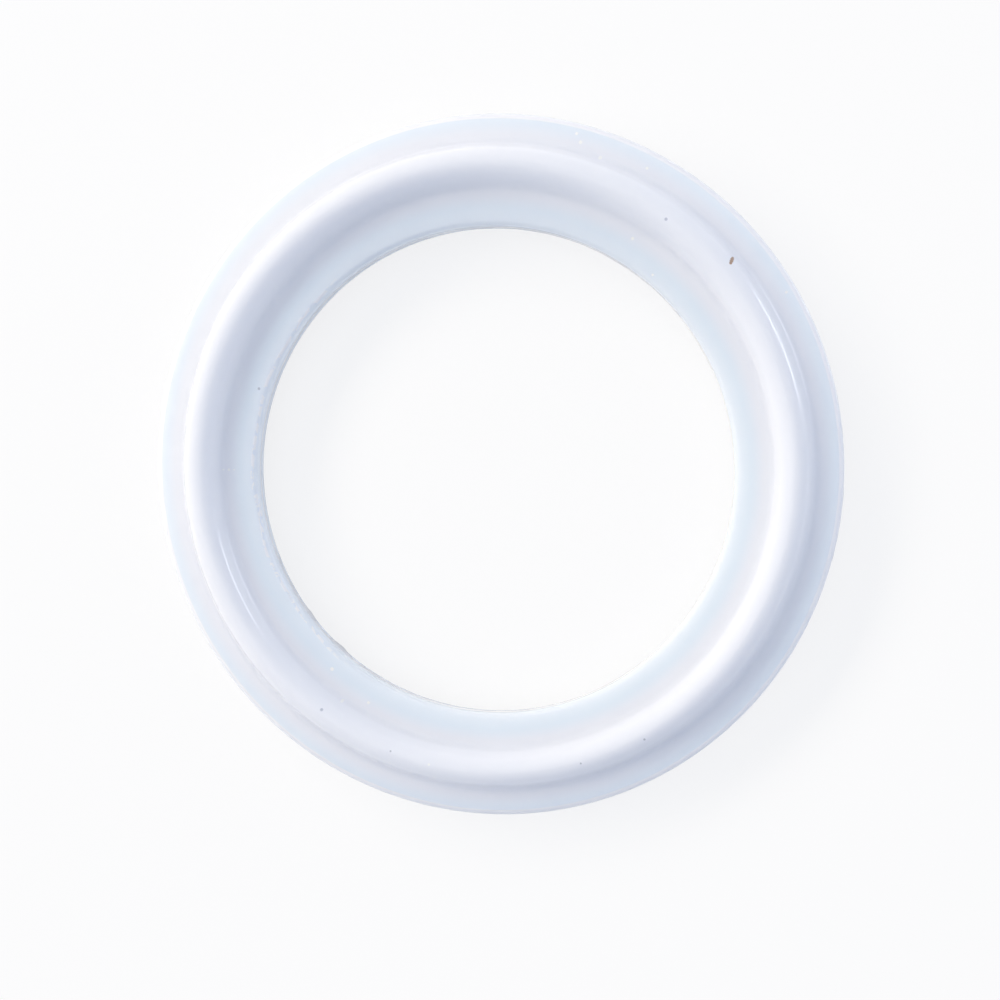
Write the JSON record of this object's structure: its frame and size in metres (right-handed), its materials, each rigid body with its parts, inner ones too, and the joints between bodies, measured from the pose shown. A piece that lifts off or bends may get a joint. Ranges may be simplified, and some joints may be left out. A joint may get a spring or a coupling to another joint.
{
  "type": "sanitary clamp gasket",
  "caption": "Flat silicone ring with a rounded bead on each face, which seals and centres two clamped tube ferrules.",
  "frame": {"origin": "centre of the bore, halfway through the land", "axes": "+Z along the bore's axis, out of one face; both faces are alike"},
  "size_m": [0.0506, 0.0506, 0.0046],
  "materials": {
    "silicone": "smooth milky translucent silicone"
  },
  "bodies": {
    "root": {"gasket": "silicone"}
  },
  "joints": []
}
